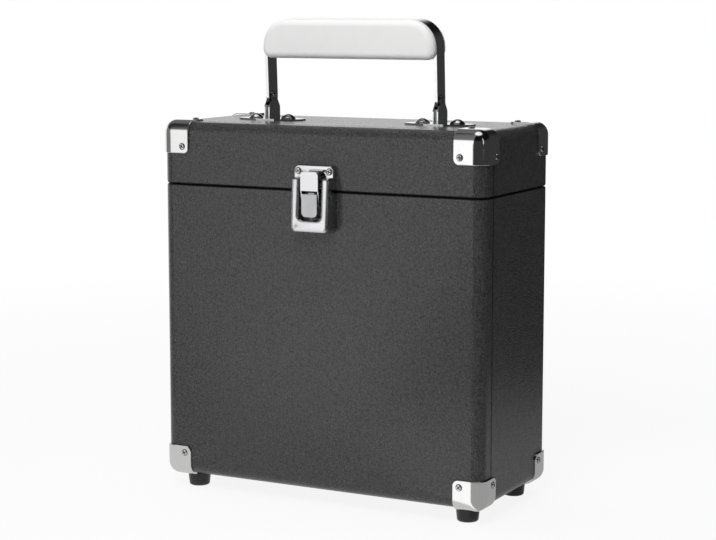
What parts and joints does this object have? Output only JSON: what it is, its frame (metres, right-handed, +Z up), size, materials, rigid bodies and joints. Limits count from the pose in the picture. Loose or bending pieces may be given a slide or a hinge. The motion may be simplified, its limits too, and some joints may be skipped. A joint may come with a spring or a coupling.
{
  "type": "record carrying case",
  "caption": "Upright covered board case for records, with a hinged lid, metal corners, rubber feet, a draw latch and a folding carrying handle with a pale grip.",
  "frame": {"origin": "middle of the object's outline seen from above, on the floor under the feet", "axes": "+Z up, the front with the latch faces -Y, +X to the right seen from the front"},
  "size_m": [0.3562, 0.1794, 0.4738],
  "materials": {
    "covering": "black grained leatherette, satin",
    "board": "raw fibre board",
    "lining": "black lining paper, matt",
    "corner_metal": "nickel-plated, satin brushed",
    "foot_rubber": "moulded black rubber",
    "grip": "smooth moulded, off-white",
    "bar_steel": "plated strap, bright",
    "bracket_steel": "plated pressing, bright",
    "latch_chrome": "polished chrome",
    "hinge_steel": "nickel-plated, satin",
    "fastener_steel": "nickel-plated"
  },
  "bodies": {
    "body": {"back_panel": "board", "body_back_covering": "covering", "body_corner_back_left": "corner_metal", "body_corner_back_right": "corner_metal", "body_corner_front_left": "corner_metal", "body_corner_front_right": "corner_metal", "body_corner_screws": "fastener_steel", "body_front_covering": "covering", "body_lining": "lining", "bottom_panel": "board", "foot_back_left": "foot_rubber", "foot_back_right": "foot_rubber", "foot_front_left": "foot_rubber", "foot_front_right": "foot_rubber", "foot_screws": "fastener_steel", "front_panel": "board", "hinge_body_leaf_left": "hinge_steel", "hinge_body_leaf_right": "hinge_steel", "hinge_body_screws": "fastener_steel", "hinge_pins": "fastener_steel", "latch_frame": "latch_chrome", "latch_frame_rivets": "fastener_steel", "latch_lever_pin": "fastener_steel", "left_panel": "board", "right_panel": "board"},
    "lid": {"bracket_nuts": "fastener_steel", "bracket_screws": "fastener_steel", "handle_bracket_left": "bracket_steel", "handle_bracket_right": "bracket_steel", "handle_pivot_rivets": "fastener_steel", "hinge_lid_leaf_left": "hinge_steel", "hinge_lid_leaf_right": "hinge_steel", "hinge_lid_screws": "fastener_steel", "latch_strike": "latch_chrome", "latch_strike_screws": "fastener_steel", "lid_back_covering": "covering", "lid_back_panel": "board", "lid_corner_back_left": "corner_metal", "lid_corner_back_right": "corner_metal", "lid_corner_front_left": "corner_metal", "lid_corner_front_right": "corner_metal", "lid_corner_screws": "fastener_steel", "lid_front_covering": "covering", "lid_front_panel": "board", "lid_left_panel": "board", "lid_lining": "lining", "lid_right_panel": "board", "lid_top_panel": "board"},
    "handle": {"handle_bar": "bar_steel", "handle_grip": "grip"},
    "lever": {"latch_lever": "latch_chrome", "latch_catch_pin": "fastener_steel"},
    "catch": {"latch_catch": "latch_chrome"}
  },
  "joints": [
    {"name": "lid_hinge", "type": "hinge", "parent": "body", "child": "lid", "pos_m": [0, 0.08685, 0.3102], "axis": [-1, 0, 0], "range_deg": [0, 105]},
    {"name": "handle_pivot", "type": "hinge", "parent": "lid", "child": "handle", "pos_m": [0, 0.00365, 0.3952], "axis": [1, 0, 0], "range_deg": [-93, 87]},
    {"name": "latch_lever_pivot", "type": "hinge", "parent": "body", "child": "lever", "pos_m": [0, -0.08435, 0.3052], "axis": [-1, 0, 0], "range_deg": [0, 100]},
    {"name": "latch_catch_link", "type": "hinge", "parent": "lever", "child": "catch", "pos_m": [0, -0.08335, 0.2982], "axis": [1, 0, 0], "range_deg": [0, 120]}
  ],
  "couplings": [
    {"joint": "latch_catch_link", "follows": "latch_lever_pivot", "ratio": 1.2}
  ]
}
